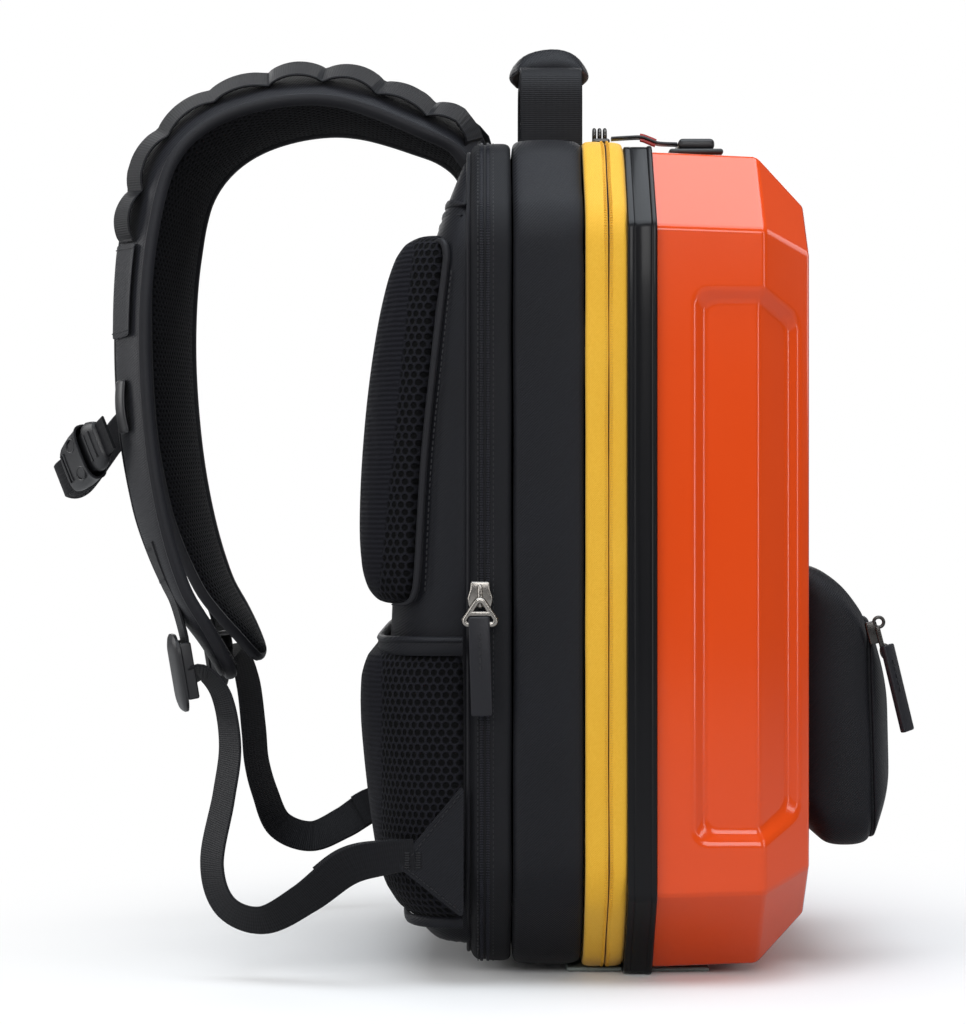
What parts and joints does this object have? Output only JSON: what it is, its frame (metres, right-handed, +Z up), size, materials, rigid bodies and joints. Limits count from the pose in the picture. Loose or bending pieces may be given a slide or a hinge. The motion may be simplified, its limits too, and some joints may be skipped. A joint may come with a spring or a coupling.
{
  "type": "laptop backpack",
  "caption": "Laptop backpack standing on its base: corner-cut hard front shell, zipped soft body, air-mesh back padding, padded shoulder straps, grab handle and a soft front pouch",
  "frame": {"origin": "On the floor, under the middle of the rim, where the bag's base lies flat", "axes": "+X the hard front, -X the side on the wearer's back, Y across the bag with the wearer's left at -Y, +Z up"},
  "size_m": [0.4965, 0.3429, 0.528],
  "materials": {
    "shell_plastic": "orange thermoformed sheet, satin gloss",
    "rim_plastic": "black ribbed band, satin gloss",
    "gusset_fabric": "yellow ribbed zip tape",
    "coil_nylon": "nylon zip coil",
    "body_fabric": "black coated twill",
    "mesh_fabric": "black air mesh over foam",
    "webbing": "black woven webbing",
    "hardware_plastic": "black moulded plastic",
    "metal": "bright nickel zip hardware",
    "leather": "black smooth leather",
    "foot_rubber": "matt grey rubber"
  },
  "bodies": {
    "root": {"shell": "shell_plastic", "rim": "rim_plastic", "gusset_front": "gusset_fabric", "gusset_rear": "gusset_fabric", "main_zip_coil": "coil_nylon", "laptop_zip_coil": "coil_nylon", "main_body": "body_fabric", "laptop_tape_front": "body_fabric", "laptop_tape_rear": "body_fabric", "back_panel": "body_fabric", "pouch_body": "body_fabric", "pouch_lid": "body_fabric", "handle_grip": "body_fabric", "strap_left": "body_fabric", "strap_sleeve_left": "body_fabric", "wing_tab_left": "body_fabric", "strap_right": "body_fabric", "strap_sleeve_right": "body_fabric", "wing_tab_right": "body_fabric", "upper_pad_left": "mesh_fabric", "upper_pad_right": "mesh_fabric", "lumbar_pad": "mesh_fabric", "handle_webbing": "webbing", "daisy_webbing_left": "webbing", "lock_holder_left": "webbing", "lower_webbing_left": "webbing", "sternum_webbing_left": "webbing", "daisy_webbing_right": "webbing", "lock_holder_right": "webbing", "lower_webbing_right": "webbing", "sternum_webbing_right": "webbing", "lock_base": "hardware_plastic", "lock_body": "hardware_plastic", "sternum_socket": "hardware_plastic", "sternum_plug": "hardware_plastic", "ladder_lock_left": "hardware_plastic", "sternum_clip_left": "hardware_plastic", "ladder_lock_right": "hardware_plastic", "sternum_clip_right": "hardware_plastic", "main_zip_slider": "metal", "laptop_slider": "metal", "laptop_ring": "metal", "pouch_slider": "metal", "main_zip_pull": "leather", "laptop_pull": "leather", "pouch_pull": "leather", "foot_front": "foot_rubber", "foot_rear": "foot_rubber"}
  },
  "joints": []
}
